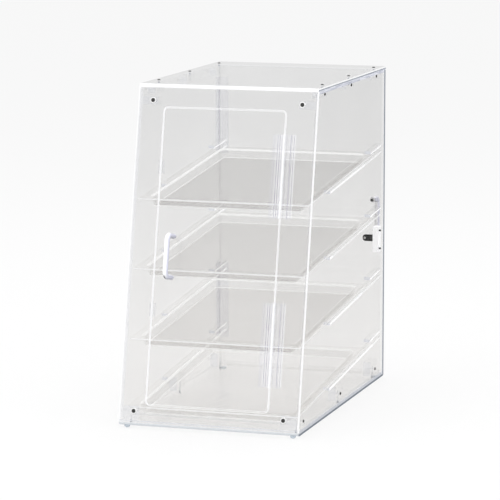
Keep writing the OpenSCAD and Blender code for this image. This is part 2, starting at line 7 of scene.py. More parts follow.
import bpy
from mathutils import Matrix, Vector


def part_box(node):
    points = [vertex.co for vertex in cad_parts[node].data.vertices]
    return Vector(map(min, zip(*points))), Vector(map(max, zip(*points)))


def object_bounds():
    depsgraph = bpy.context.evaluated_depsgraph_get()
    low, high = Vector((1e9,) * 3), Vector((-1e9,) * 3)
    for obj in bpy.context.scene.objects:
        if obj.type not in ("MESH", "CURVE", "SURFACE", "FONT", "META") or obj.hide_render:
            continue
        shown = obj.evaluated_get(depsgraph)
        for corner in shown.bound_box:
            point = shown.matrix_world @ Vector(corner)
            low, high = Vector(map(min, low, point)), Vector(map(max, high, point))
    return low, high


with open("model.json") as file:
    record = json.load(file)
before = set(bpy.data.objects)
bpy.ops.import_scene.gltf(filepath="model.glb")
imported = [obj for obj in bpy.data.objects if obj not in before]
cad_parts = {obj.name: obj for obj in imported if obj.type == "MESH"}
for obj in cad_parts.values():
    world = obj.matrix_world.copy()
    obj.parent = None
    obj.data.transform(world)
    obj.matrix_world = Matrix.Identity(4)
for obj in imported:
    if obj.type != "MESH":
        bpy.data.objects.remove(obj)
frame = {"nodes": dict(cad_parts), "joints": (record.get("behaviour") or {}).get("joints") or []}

CAD_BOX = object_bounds()
NODES = frame["nodes"]
MM = 0.001

# Directions: up the slanted front and square to it, along the rails and square to them, and the case's own
AXES = {joint["name"]: Vector(joint["axis"]) for joint in frame["joints"]}
UP_SLOPE = AXES["front_door_hinge"].normalized()
FRONT_NORMAL = Vector((0, -UP_SLOPE.z, UP_SLOPE.y))
SLIDE_AXIS = AXES["tray_1_slide"]
RAIL_NORMAL = Vector((0, -SLIDE_AXIS.z, SLIDE_AXIS.y))
SIDEWAYS = (1, 0, 0)
REARWARDS = (0, 1, 0)
UPWARDS = (0, 0, 1)

CASE_LOW, CASE_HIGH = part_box("wrap_sheet")
CASE_BOTTOM, CASE_TOP = CASE_LOW.z, CASE_HIGH.z
CASE_MID_X = (CASE_LOW.x + CASE_HIGH.x) / 2
CASE_HALF = (CASE_HIGH.x - CASE_LOW.x) / 2
PANEL_LOW, PANEL_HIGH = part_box("side_panel_left")
SHEET = PANEL_HIGH.x - PANEL_LOW.x
PANEL_REAR = PANEL_HIGH.y


def rail_axis(level):
    """Offset of a rail's middle, square to the slope of the rails; level 4 is the lowest."""
    low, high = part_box(f"rail_left_{level}")
    return ((low + high) / 2).dot(RAIL_NORMAL)


# Distance of the front's outer face from the origin, square to it
FRONT_PLANE = max(FRONT_NORMAL.dot(point.co) for point in NODES["front_door"].data.vertices)

# Outline of the front door in its own plane: X across, and the distance up the slope
DOOR_LOW, DOOR_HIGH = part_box("front_door")
DOOR_SPAN = [UP_SLOPE.dot(point.co) for point in NODES["front_door"].data.vertices]
DOOR_MIDDLE = ((DOOR_LOW.x + DOOR_HIGH.x) / 2, (min(DOOR_SPAN) + max(DOOR_SPAN)) / 2)
DOOR_HALF = ((DOOR_HIGH.x - DOOR_LOW.x) / 2, (max(DOOR_SPAN) - min(DOOR_SPAN)) / 2)
DOOR_CORNER = 8 * MM      # corner radius of the door
DOOR_GAP = 2 * MM         # gap all round it

# Levels square to the rails: underside of the lowest rail, and distance between rails
RAIL_THICK = 6 * MM
RAIL_FOOT = rail_axis(4) - RAIL_THICK / 2
RAIL_STEP = rail_axis(3) - rail_axis(4)


# ---- Node helpers ----

def add(tree, kind, inputs=None, **props):
    """One shader node, with its properties set and its inputs linked or filled."""
    made = tree.nodes.new(kind)
    for key, value in props.items():
        setattr(made, key, value)
    for key, value in (inputs or {}).items():
        if isinstance(value, bpy.types.NodeSocket):
            tree.links.new(value, made.inputs[key])
        else:
            made.inputs[key].default_value = value
    return made


def calc(tree, operation, *values):
    """Output of a math node."""
    return add(tree, "ShaderNodeMath", dict(enumerate(values)), operation=operation).outputs[0]


def dot(tree, vector, direction):
    """Size of the projection of a vector socket on a fixed direction, without its sign."""
    made = add(tree, "ShaderNodeVectorMath", {0: vector, 1: tuple(direction)}, operation="DOT_PRODUCT")
    return calc(tree, "ABSOLUTE", made.outputs["Value"])


def blend_colour(tree, factor, first, second, mode="MIX"):
    """Mix of two colours, whose sockets are 6 and 7 of the node and whose result is 2."""
    made = add(tree, "ShaderNodeMix", data_type="RGBA", blend_type=mode)
    for slot, value in ((0, factor), (6, first), (7, second)):
        if isinstance(value, bpy.types.NodeSocket):
            tree.links.new(value, made.inputs[slot])
        else:
            made.inputs[slot].default_value = value
    return made.outputs[2]


def blend_shader(tree, factor, first, second):
    """Mix of two shaders: the first at 0, the second at 1."""
    return add(tree, "ShaderNodeMixShader", {0: factor, 1: first, 2: second}).outputs[0]


def grey(value, warmth=0.0):
    """A grey, a little redder and less blue where it is given some warmth."""
    return (value + warmth, value, value - warmth, 1.0)


def noise(tree, place, scale, detail=2.0, stretch=(1, 1, 1)):
    """Noise value from 0 to 1 at an object-space place, in metres."""
    mapped = add(tree, "ShaderNodeMapping", {"Vector": place, "Scale": stretch}).outputs[0]
    made = add(tree, "ShaderNodeTexNoise", {"Vector": mapped, "Scale": scale, "Detail": detail})
    return made.outputs["Fac"]


def remap(tree, value, low, high, to_low, to_high):
    """A value carried from one range to another, and held inside it."""
    ends = {"Value": value, "From Min": low, "From Max": high, "To Min": to_low, "To Max": to_high}
    return add(tree, "ShaderNodeMapRange", ends).outputs[0]


def grain_range(tree, value, to_low, to_high):
    """Most of a noise value's spread, carried to a range."""
    return remap(tree, value, 0.3, 0.7, to_low, to_high)


def split(tree, vector):
    """X, Y and Z of a vector socket."""
    return add(tree, "ShaderNodeSeparateXYZ", {0: vector}).outputs


def new_material(name):
    """An empty material, with its node tree and the object-space place and normal."""
    material = bpy.data.materials.new(name)
    material.use_nodes = True
    tree = material.node_tree
    tree.nodes.clear()
    coords = add(tree, "ShaderNodeTexCoord")
    return material, tree, coords.outputs["Object"], coords.outputs["Normal"]


def close_material(material, tree, surface):
    """Connects the finished surface to the material's output."""
    add(tree, "ShaderNodeOutputMaterial", {"Surface": surface})
    return material


# ---- Acrylic ----

def facing(tree):
    """0 where the surface faces the viewer, 1 where it is seen edge on."""
    return add(tree, "ShaderNodeLayerWeight", {"Blend": 0.5}).outputs["Facing"]


# Masks are 1 where they hold and 0 elsewhere. both() also weakens a mask to a share.

def less(tree, value, limit):
    return calc(tree, "LESS_THAN", value, limit)


def more(tree, value, limit):
    return calc(tree, "GREATER_THAN", value, limit)


def both(tree, first, second):
    return calc(tree, "MULTIPLY", first, second)


def either(tree, first, second):
    return calc(tree, "MAXIMUM", first, second)


def between(tree, value, low, high):
    return both(tree, more(tree, value, low), less(tree, value, high))


def opposite(tree, mask):
    return calc(tree, "SUBTRACT", 1.0, mask)


def off_middle(tree, x):
    """Distance from the middle plane of the case, on either side."""
    return calc(tree, "ABSOLUTE", calc(tree, "SUBTRACT", x, CASE_MID_X))


def towards_viewer(tree):
    """1 on the side of a surface that faces the viewer, 0 when it is seen from inside the sheet."""
    inside = add(tree, "ShaderNodeNewGeometry").outputs["Backfacing"]
    return opposite(tree, inside)


def tinted(tree, value):
    """Lets what lies behind show through, darkened by a factor and with no reflection."""
    return add(tree, "ShaderNodeBsdfTransparent", {"Color": grey(value)}).outputs[0]


def along(tree, place, direction):
    """Signed distance of a place along a fixed direction."""
    made = add(tree, "ShaderNodeVectorMath", {0: place, 1: tuple(direction)}, operation="DOT_PRODUCT")
    return made.outputs["Value"]


def door_arris(tree, place):
    """1 along the outer arrises of the front door and of its opening: where the painted light line round the
    door goes.
    """
    x = split(tree, place)["X"]
    beyond = []
    for value, middle, half in zip((x, along(tree, place, UP_SLOPE)), DOOR_MIDDLE, DOOR_HALF):
        off = calc(tree, "ABSOLUTE", calc(tree, "SUBTRACT", value, middle))
        beyond.append(calc(tree, "SUBTRACT", off, half + DOOR_GAP / 2 - DOOR_CORNER))
    corner = [calc(tree, "MAXIMUM", value, 0.0) for value in beyond]
    reach = calc(tree, "SQRT", calc(tree, "ADD", *[calc(tree, "POWER", value, 2.0) for value in corner]))
    inside = calc(tree, "MINIMUM", calc(tree, "MAXIMUM", *beyond), 0.0)
    from_gap = calc(tree, "ABSOLUTE", calc(tree, "SUBTRACT", calc(tree, "ADD", reach, inside), DOOR_CORNER))
    outer_skin = more(tree, along(tree, place, FRONT_NORMAL), FRONT_PLANE - ARRIS - 0.1 * MM)
    return both(tree, less(tree, from_gap, DOOR_LINE / 2), outer_skin)


POLISH = 0.012            # roughness of a clean polished face
SMEAR_SCALE = 24.0        # wiping marks, drawn out downwards
SMEAR_ROUGH = 0.03        # roughness that they add
CLOUD_SCALE = 7.0         # slow unevenness of the tint
CLOUD_DARKEST = 0.988
DUST_SCALE = 900.0        # fine hanging streaks
VEIL = grey(0.9)          # colour of the dust


def clear_surface(tree, place, tint_low, tint_high, shine=0.2, base=0.03, haze=0.012):
    """A polished face: what lies behind it shows through with a tint, under a thin reflection.

    The tints are those at the bottom and at the top of the case. Base is the share reflected square on,
    shine what grazing views add to it, and haze the mean cover of dust.
    """
    level = remap(tree, split(tree, place)["Z"], 0.0, CASE_TOP, 0.0, 1.0)
    tint = blend_colour(tree, level, tint_low, tint_high)
    cloud = grain_range(tree, noise(tree, place, CLOUD_SCALE, 3.0), CLOUD_DARKEST, 1.0)
    tint = blend_colour(tree, 1.0, tint, cloud, "MULTIPLY")
    through = add(tree, "ShaderNodeBsdfTransparent", {"Color": tint}).outputs[0]
    smear = remap(tree, noise(tree, place, SMEAR_SCALE, 4.0, (1, 1, 0.25)), 0.45, 0.8, 0.0, SMEAR_ROUGH)
    rough = calc(tree, "ADD", smear, POLISH)
    mirror = add(tree, "ShaderNodeBsdfGlossy", {"Color": grey(1.0), "Roughness": rough}).outputs[0]
    schlick = calc(tree, "POWER", facing(tree), 5.0)
    reflect = calc(tree, "MULTIPLY_ADD", schlick, shine, base)
    surface = blend_shader(tree, reflect, through, mirror)
    fine = noise(tree, place, DUST_SCALE, 2.0, (1, 1, 0.02))
    dust = remap(tree, fine, 0.5, 0.75, haze * 0.4, haze * 2.2)
    veil = add(tree, "ShaderNodeBsdfDiffuse", {"Color": VEIL}).outputs[0]
    return blend_shader(tree, dust, surface, veil)


SAW_SCALE = 420.0         # saw marks across a cut edge
ACRYLIC_IOR = 1.49
EDGE_BODY = 0.3           # share of plain gloss in an edge with painted glow


def painted_edge(tree, place, colour, glow=1.0):
    """A sawn and polished edge, drawn as a painted glow of the given colour, light or dark, standing in for
    the light it carries out of the sheet, over a share of plain gloss.
    """
    lines = noise(tree, place, SAW_SCALE, 3.0, (1, 1, 0.12))
    lit = blend_colour(tree, 1.0, colour, grain_range(tree, lines, 0.93, 1.05), "MULTIPLY")
    glowing = add(tree, "ShaderNodeEmission", {"Color": lit, "Strength": glow}).outputs[0]
    gloss = grain_range(tree, lines, 0.12, 0.3)
    body = add(tree, "ShaderNodeBsdfPrincipled",
               {"Base Color": lit, "Roughness": gloss, "IOR": ACRYLIC_IOR}).outputs[0]
    return blend_shader(tree, EDGE_BODY, glowing, body)


def lay_painted_edge(tree, surface, where, cover, place, colour, glow=1.0):
    """A surface with a painted edge glow, light or dark, over it where a mask says so, as densely as the
    cover says.
    """
    return blend_shader(tree, both(tree, where, cover), surface, painted_edge(tree, place, colour, glow))


# Tints of the sheets at the bottom and the top of the case, and colours of the painted light and shade on
# their edges and bends
SHEET_LOW = grey(0.967, 0.003)
SHEET_HIGH = grey(0.942)
EDGE_WHITE = (0.985, 0.99, 1.0, 1.0)
EDGE_PALE = (0.80, 0.82, 0.88, 1.0)
EDGE_BLUE = (0.24, 0.27, 0.32, 1.0)
EDGE_GREY = (0.56, 0.58, 0.63, 1.0)
EDGE_DARK = (0.16, 0.19, 0.23, 1.0)
LAVENDER_DARK = (0.48, 0.50, 0.60, 1.0)
BEND_LOW = (0.50, 0.55, 0.61, 1.0)
BEND_HIGH = (0.86, 0.89, 0.92, 1.0)

# Limits on the cosine between a face's normal and a direction
SQUARE = 0.9              # the face is one of those square to the direction
OFF_SQUARE = 0.975        # anything less square than this is an edge or its arris
TRUE_END = 0.995          # the face itself, without its arris
TRUE_SIDE = 0.97          # the same for a side edge
SLANTED = 0.25            # the face leans that way at all, as an arris does

HIGH_TURN = (0.30, 0.97)  # vertical share of the normal, from one end of the upper bend to the other
LOW_TURN = (0.26, 0.97)   # and of the lower one

LINE = 3.0 * MM           # width of the painted white highlight line along the top's side edges
ARRIS = 0.8 * MM          # rounding of the sheets' cut edges
SLACK = 0.4 * MM          # takes the arris of the next face into a zone
DOOR_LINE = 3.3 * MM      # width of the painted light line round the front door, gap included
SLOPE_FOOT = 20 * MM      # the flat of the slanted front starts this far above the bottom
SLOPE_HEAD = 14 * MM      # and ends this far below the top
HIGH_BEND = 6.4 * MM      # height of the painted white highlight band along the top of the front
LOW_BEND = 11 * MM        # height of the painted pale blue band along its foot
FADE_IN = 8 * MM          # height over which that painted band turns pale
FRONT_PART = 200 * MM     # depth from the foot of the front that takes in the upper bend
RIM_LINE = 1.8 * MM       # width of the painted white highlight line along the sides of the front
DARK_FOOT = 3.8 * MM      # height of the painted dark shade line along the bottom


def wrap_bands(tree, surface, place, normal, seen):
    """Bends: a painted white highlight band along the top of the front, a painted pale blue one along its
    foot.
    """
    _, y, z = split(tree, place)
    n_up = dot(tree, normal, UPWARDS)
    high_bend = both(tree, between(tree, n_up, *HIGH_TURN), more(tree, z, CASE_TOP - HIGH_BEND))
    high_bend = both(tree, high_bend, less(tree, y, CASE_LOW.y + FRONT_PART))
    low_bend = both(tree, between(tree, n_up, *LOW_TURN), less(tree, z, CASE_BOTTOM + LOW_BEND))
    off_side = less(tree, dot(tree, normal, SIDEWAYS), 0.3)
    bent = both(tree, more(tree, dot(tree, normal, FRONT_NORMAL), 0.05), off_side)
    low_bend = both(tree, low_bend, bent)
    rise = remap(tree, z, CASE_BOTTOM, CASE_BOTTOM + FADE_IN, 0.0, 1.0)
    low_glow = blend_colour(tree, rise, BEND_LOW, BEND_HIGH)
    surface = lay_painted_edge(tree, surface, both(tree, high_bend, seen), 0.85, place, EDGE_WHITE)
    return lay_painted_edge(tree, surface, both(tree, low_bend, seen), 0.75, place, low_glow, 0.95)


def front_lines(tree, place, normal, seen, edge_zone):
    """Mask of the opening cut in the front, with its rounded arrises, and of the front's two sides."""
    x, _, z = split(tree, place)
    n_front = dot(tree, normal, FRONT_NORMAL)
    on_slope = between(tree, z, CASE_BOTTOM + SLOPE_FOOT, CASE_TOP - SLOPE_HEAD)
    kerf = both(tree, both(tree, on_slope, less(tree, n_front, OFF_SQUARE)), both(tree, seen, 0.8))
    kerf = either(tree, kerf, both(tree, door_arris(tree, place), 0.95))
    rim = both(tree, edge_zone, more(tree, n_front, SQUARE))
    rim = both(tree, rim, more(tree, off_middle(tree, x), CASE_HALF - RIM_LINE))
    return either(tree, kerf, both(tree, rim, 0.85))


def wrap_side_light_and_shade(tree, place, z):
    """Colours of the painted light and shade on the sheet's side edges: a painted white line along the top
    with a dark blue band under it and streaked painted reflections below that, painted dark shade under a
    pale line along the bottom.
    """
    from_top = calc(tree, "SUBTRACT", CASE_TOP, z)
    streak = remap(tree, noise(tree, place, 160.0, 2.0, (1, 0.12, 1)), 0.35, 0.65, 0.0, 1.0)
    pale = blend_colour(tree, streak, EDGE_PALE, LAVENDER_DARK)
    top_colour = blend_colour(tree, less(tree, from_top, LINE), pale, EDGE_WHITE)
    top_colour = blend_colour(tree, between(tree, from_top, LINE, LINE * 1.6), top_colour, EDGE_BLUE)
    low_colour = blend_colour(tree, more(tree, z, CASE_BOTTOM + DARK_FOOT), EDGE_DARK, EDGE_GREY)
    return top_colour, low_colour


def wrap_material():
    """The bent sheet: a painted bright glow where it is cut along the front, painted bluish light and shade
    at its lower and rear edges.
    """
    material, tree, place, normal = new_material("acrylic_wrap")
    surface = clear_surface(tree, place, SHEET_LOW, SHEET_HIGH)
    z = split(tree, place)["Z"]
    seen = towards_viewer(tree)
    n_front = dot(tree, normal, FRONT_NORMAL)
    n_side = dot(tree, normal, SIDEWAYS)
    n_rear = dot(tree, normal, REARWARDS)
    top_zone = more(tree, z, CASE_TOP - SHEET - SLACK)
    low_zone = less(tree, z, CASE_BOTTOM + SHEET + SLACK)
    edge_zone = between(tree, z, CASE_BOTTOM + SHEET + 2 * SLACK, CASE_TOP - SHEET)

    # Only the broad faces tint the view, and not the walls of screw holes; but the top's rear and side edges,
    # where they are seen through the sheet, darken it with a painted shade
    broad = either(tree, more(tree, n_front, SQUARE), more(tree, dot(tree, normal, UPWARDS), SLANTED))
    surface = blend_shader(tree, broad, tinted(tree, 1.0), surface)
    edge = either(tree, more(tree, n_rear, TRUE_END), more(tree, n_side, TRUE_SIDE))
    inside_edge = both(tree, both(tree, edge, top_zone), opposite(tree, seen))
    surface = blend_shader(tree, inside_edge, surface, tinted(tree, 0.85))
    surface = wrap_bands(tree, surface, place, normal, seen)
    # The opening in the front and the front's two sides get a painted white glow
    bright = painted_edge(tree, place, EDGE_WHITE)
    surface = blend_shader(tree, front_lines(tree, place, normal, seen, edge_zone), surface, bright)

    # Side edges: a painted white glow on the slope, and painted light and shade along the top and the bottom
    side = both(tree, more(tree, n_side, SLANTED), seen)
    surface = blend_shader(tree, both(tree, side, edge_zone), surface, bright)
    top_colour, low_colour = wrap_side_light_and_shade(tree, place, z)
    surface = lay_painted_edge(tree, surface, both(tree, side, top_zone), 0.92, place, top_colour, 0.95)
    surface = lay_painted_edge(tree, surface, both(tree, side, low_zone), 0.95, place, low_colour, 0.9)
    # The rear edges get a pale painted glow
    rear = both(tree, more(tree, n_rear, TRUE_END), seen)
    surface = lay_painted_edge(tree, surface, rear, 0.6, place, EDGE_PALE, 0.9)
    return close_material(material, tree, surface)


def plate_material(name, thickness_axis, colour, glow, cover, low=SHEET_LOW, high=SHEET_HIGH,
                   side_colour=None, door_line=False):
    """A flat sheet: its two faces are clear and its edges carry a painted glow in a colour where they face
    the viewer.
    """
    material, tree, place, normal = new_material(name)
    surface = clear_surface(tree, place, low, high)
    edge = both(tree, less(tree, dot(tree, normal, thickness_axis), OFF_SQUARE), towards_viewer(tree))
    cover = both(tree, edge, cover)
    if door_line:
        cover = either(tree, cover, both(tree, door_arris(tree, place), 0.95))
    # Side edges can take a second colour of painted glow, such as a dark painted shade
    if side_colour:
        sideways = more(tree, dot(tree, normal, SIDEWAYS), 0.93)
        colour = blend_colour(tree, sideways, colour, side_colour)
    surface = blend_shader(tree, cover, surface, painted_edge(tree, place, colour, glow))
    return close_material(material, tree, surface)


# Dark and light colours of the painted reflection streaks on the side panels
STREAK_DARK = (0.44, 0.46, 0.56, 1.0)
STREAK_LIGHT = (0.82, 0.84, 0.92, 1.0)
TOP_BAND = 5.0 * MM       # height of the painted reflection streaks along the top of a side panel
FOOT_BAND = 4.2 * MM      # height of the painted grey band along its foot
REAR_BAND = 5.0 * MM      # width of the painted dark band along its rear edge
REAR_GLEAM = 11.0 * MM    # distance from the rear edge where the painted pale highlight band before it starts


def side_material():
    """Side panels: clear, with painted streaks of reflected edges along the top, the foot and the rear."""
    material, tree, place, normal = new_material("acrylic_side")
    surface = clear_surface(tree, place, SHEET_LOW, SHEET_HIGH, shine=0.06, base=0.008, haze=0.005)
    x, y, z = split(tree, place)
    seen = towards_viewer(tree)
    n_side = dot(tree, normal, SIDEWAYS)
    flat = more(tree, n_side, SQUARE)
    surface = blend_shader(tree, flat, tinted(tree, 0.995), surface)

    # Painted bands of reflection and shade on the outer face only
    outwards = both(tree, calc(tree, "SUBTRACT", x, CASE_MID_X), along(tree, normal, SIDEWAYS))
    face = both(tree, both(tree, flat, seen), more(tree, outwards, 0.0))
    streak = remap(tree, noise(tree, place, 150.0, 2.0, (1, 0.15, 2.0)), 0.38, 0.62, 0.0, 1.0)
    lavender = blend_colour(tree, streak, STREAK_DARK, STREAK_LIGHT)
    from_rear = calc(tree, "SUBTRACT", PANEL_REAR, y)
    for where, cover, colour, glow in (
            (more(tree, z, CASE_TOP - SHEET - TOP_BAND), 0.85, lavender, 0.95),
            (less(tree, z, CASE_BOTTOM + SHEET + FOOT_BAND), 0.85, EDGE_GREY, 1.0),
            (between(tree, from_rear, REAR_BAND, REAR_GLEAM), 0.4, EDGE_WHITE, 1.0),
            (less(tree, from_rear, REAR_BAND), 0.8, EDGE_BLUE, 1.0)):
        surface = lay_painted_edge(tree, surface, both(tree, face, where), cover, place, colour, glow)

    # The long edges get a faint pale painted glow
    ends = either(tree, more(tree, dot(tree, normal, REARWARDS), SQUARE),
                  more(tree, dot(tree, normal, UPWARDS), SQUARE))
    long_edge = both(tree, both(tree, less(tree, n_side, 0.5), seen), ends)
    surface = lay_painted_edge(tree, surface, long_edge, 0.3, place, EDGE_PALE, 0.95)
    return close_material(material, tree, surface)


def level_on_rails(tree, place):
    """Height above the underside of the rail below, square to the rails, in metres."""
    from_rail = calc(tree, "SUBTRACT", along(tree, place, RAIL_NORMAL), RAIL_FOOT)
    return calc(tree, "MODULO", from_rail, RAIL_STEP)


RAIL_LINE = 3.8 * MM                      # top of the painted bright line low on a rail, above its underside
KEEPER_LINE = (12.6 * MM, 15.5 * MM)      # the one low on a keeper, above the same level
# pale painted glow on the sawn ends
SAWN_END_GLOW = (0.80, 0.83, 0.90, 1.0)


def strip_material():
    """Rails and keepers: clear, with a painted bright line low along their sides and pale sawn ends, their
    frosted look drawn as a painted glow.
    """
    material, tree, place, normal = new_material("acrylic_strip")
    surface = clear_surface(tree, place, grey(0.985), grey(0.98), shine=0.05)
    seen = towards_viewer(tree)
    level = level_on_rails(tree, place)
    side = both(tree, more(tree, dot(tree, normal, SIDEWAYS), 0.7), seen)
    line = either(tree, less(tree, level, RAIL_LINE), between(tree, level, *KEEPER_LINE))
    end = both(tree, more(tree, dot(tree, normal, SLIDE_AXIS), 0.7), seen)
    # Painted white glow, faint over the sides and strong along the low line, and a pale painted glow on the
    # ends
    surface = lay_painted_edge(tree, surface, side, 0.3, place, EDGE_WHITE)
    surface = lay_painted_edge(tree, surface, side, line, place, EDGE_WHITE, 1.25)
    surface = lay_painted_edge(tree, surface, end, 0.7, place, SAWN_END_GLOW, 0.95)
    return close_material(material, tree, surface)


FLANGE_LEVEL = 20 * MM                    # the rim lies below this level over a rail, and the rest under it
RIM_FOOT = RAIL_THICK + 0.45 * MM         # top of the painted shade line along the underside of the rim
UPRIGHT = 0.12                            # a face less square than this to the tray is a cut edge
WALL = 0.4                                # from there to this it is a wall, and beyond it a bend
# Painted highlight colour for the bends, and painted shade for the rim's underside
BEND_WHITE = (0.99, 0.99, 0.985, 1.0)
RIM_SHADE = (0.58, 0.56, 0.50, 1.0)


def tray_material():
    """Formed trays: nearly clear, with painted white highlights on the bends and a painted bright glow on the
    sawn rim, with painted shade along its underside.
    """
    material, tree, place, normal = new_material("acrylic_tray")
    turned = dot(tree, normal, RAIL_NORMAL)
    seen = towards_viewer(tree)
    level = level_on_rails(tree, place)
    surface = clear_surface(tree, place, grey(0.915, 0.006), grey(0.865, 0.004), shine=0.04)
    thin = clear_surface(tree, place, grey(0.985, 0.002), grey(0.975, 0.002), shine=0.04)
    surface = blend_shader(tree, less(tree, level, FLANGE_LEVEL), surface, thin)
    wall = clear_surface(tree, place, grey(0.965, 0.002), grey(0.955, 0.002), shine=0.04)
    surface = blend_shader(tree, between(tree, turned, UPRIGHT, WALL), surface, wall)
    bend = both(tree, between(tree, turned, WALL, 0.96), seen)
    surface = lay_painted_edge(tree, surface, bend, 0.92, place, BEND_WHITE)
    rim = both(tree, less(tree, turned, UPRIGHT), seen)
    rim_colour = blend_colour(tree, less(tree, level, RIM_FOOT), EDGE_WHITE, RIM_SHADE)
    surface = lay_painted_edge(tree, surface, rim, 0.95, place, rim_colour)
    return close_material(material, tree, surface)


def block_material():
    """Cut blocks and stops glued inside the corners: clear, with faintly frosted ends drawn as a faint pale
    painted glow.
    """
    material, tree, place, normal = new_material("block_clear")
    surface = clear_surface(tree, place, grey(0.993), grey(0.99), shine=0.03, base=0.015)
    end = both(tree, more(tree, dot(tree, normal, REARWARDS), SQUARE), towards_viewer(tree))
    return close_material(material, tree, lay_painted_edge(tree, surface, end, 0.3, place, EDGE_PALE))


HINGE_TINT = (0.985, 0.985, 0.995, 1.0)
DIE_SCALE = 520.0                         # die lines across a hinge, drawn as painted bright and dark streaks
# colour of the dark painted shade streaks along the die lines
DIE_LINE_SHADE = (0.46, 0.45, 0.57, 1.0)


def hinge_material(name, across, stretch, strength):
    """Extruded clear hinges: die lines run along them as painted white highlight and dark shade streaks, and
    their barrels and side edges get a painted white highlight.
    """
    material, tree, place, normal = new_material(name)
    surface = clear_surface(tree, place, HINGE_TINT, HINGE_TINT, shine=0.05)
    seen = towards_viewer(tree)
    die = noise(tree, place, DIE_SCALE, 1.0, stretch)
    # Die lines drawn as painted white highlight lines and dark painted shade lines
    white_line = remap(tree, die, 0.52, 0.60, 0.0, 0.55 * strength)
    dark_line = remap(tree, die, 0.45, 0.38, 0.0, 0.6 * strength)
    edge = more(tree, dot(tree, normal, SIDEWAYS), TRUE_SIDE)
    barrel = between(tree, dot(tree, normal, across), 0.05, 0.96)
    white = painted_edge(tree, place, EDGE_WHITE)
    surface = blend_shader(tree, both(tree, white_line, seen), surface, white)
    surface = lay_painted_edge(tree, surface, dark_line, seen, place, DIE_LINE_SHADE, 0.95)
    for where, cover in ((edge, 0.6 * strength), (barrel, 0.35)):
        surface = blend_shader(tree, both(tree, both(tree, where, seen), cover), surface, white)
    return close_material(material, tree, surface)


BUMPER_DARK = (0.50, 0.56, 0.62, 1.0)
BUMPER_LIGHT = (0.70, 0.75, 0.80, 1.0)
BUMPER_TINT = (0.80, 0.85, 0.90, 1.0)


def foot_material():
    """Soft translucent bumpers with a bluish body."""
    material, tree, place, _ = new_material("foot_bumper")
    grain = noise(tree, place, 1300.0, 3.0)
    colour = blend_colour(tree, grain, BUMPER_DARK, BUMPER_LIGHT)
    gloss = grain_range(tree, grain, 0.3, 0.5)
    body = add(tree, "ShaderNodeBsdfPrincipled", {"Base Color": colour, "Roughness": gloss}).outputs[0]
    through = add(tree, "ShaderNodeBsdfTransparent", {"Color": BUMPER_TINT}).outputs[0]
    return close_material(material, tree, blend_shader(tree, 0.3, body, through))


# ---- Opaque materials ----

RELIEF_DEPTH = 0.3 * MM


def relief(tree, height, strength):
    """A normal roughened by a grain value."""
    inputs = {"Strength": strength, "Distance": RELIEF_DEPTH, "Height": height}
    return add(tree, "ShaderNodeBump", inputs).outputs[0]


PATCH_SCALE = 0.08        # of the slow patches, beside the scale of the grain


def coated_material(name, colour, roughness, grain_scale, bump, metallic=0.0, variation=0.06, specular=0.5,
                    glow=0.0):
    """Paint, moulded plastic or steel: a base colour with fine grain, uneven gloss and relief, and a painted
    glow of that colour where glow is given.
    """
    material, tree, place, _ = new_material(name)
    grain = noise(tree, place, grain_scale, 4.0)
    patch = noise(tree, place, grain_scale * PATCH_SCALE, 2.0)
    shade = grain_range(tree, patch, 1.0 - variation, 1.0 + variation * 0.4)
    base = blend_colour(tree, 1.0, colour, shade, "MULTIPLY")
    inputs = {
        "Base Color": base,
        "Roughness": grain_range(tree, grain, roughness * 0.75, roughness * 1.3),
        "Metallic": metallic,
        "Specular IOR Level": specular,
        "Emission Color": base,
        "Emission Strength": glow,
        "Normal": relief(tree, grain, bump),
    }
    surface = add(tree, "ShaderNodeBsdfPrincipled", inputs).outputs[0]
    return close_material(material, tree, surface)


def paint(material, *nodes):
    """Gives a material to nodes."""
    for name in nodes:
        mesh = NODES[name].data
        mesh.materials.clear()
        mesh.materials.append(material)


def starting(*prefixes):
    """Names of the nodes that start with one of the prefixes."""
    return [name for name in NODES if name.startswith(prefixes)]


SHANK_CLEAR = 0.98        # share of a shank that is lost in the clear block around it
FAR_HEAD = 0.93           # tint that a head on the far side of the case leaves on the view


def screw_material():
    """Black heads outside the case, faint bright shanks inside the clear blocks."""
    material, tree, place, _ = new_material("screw_black")
    x, _, z = split(tree, place)
    ends = either(tree, more(tree, z, CASE_TOP), less(tree, z, CASE_BOTTOM))
    beside = more(tree, off_middle(tree, x), CASE_HALF)
    outside = either(tree, ends, beside)
    outside = either(tree, outside, more(tree, along(tree, place, FRONT_NORMAL), FRONT_PLANE))

    # A head on the far side of the case all but vanishes behind the sheets
    to_viewer = add(tree, "ShaderNodeNewGeometry").outputs["Incoming"]
    view_x, _, view_z = split(tree, to_viewer)
    far_x = less(tree, both(tree, view_x, calc(tree, "SUBTRACT", x, CASE_MID_X)), 0.0)
    far_z = less(tree, both(tree, view_z, calc(tree, "SUBTRACT", z, CASE_TOP / 2)), 0.0)
    far = either(tree, both(tree, beside, far_x), both(tree, ends, far_z))
    grain = noise(tree, place, 1500.0, 4.0)
    head = {
        "Base Color": blend_colour(tree, grain, grey(0.008), grey(0.03)),
        "Metallic": 0.0,
        "Roughness": grain_range(tree, grain, 0.18, 0.34),
        "Normal": relief(tree, grain, 0.3),
    }
    thread = {"Base Color": grey(0.8), "Metallic": 0.6, "Roughness": 0.35, "Normal": relief(tree, grain, 0.6)}
    black = add(tree, "ShaderNodeBsdfPrincipled", head).outputs[0]
    bright = add(tree, "ShaderNodeBsdfPrincipled", thread).outputs[0]
    bright = blend_shader(tree, SHANK_CLEAR, bright, tinted(tree, 1.0))
    black = blend_shader(tree, far, black, tinted(tree, FAR_HEAD))
    return close_material(material, tree, blend_shader(tree, outside, bright, black))


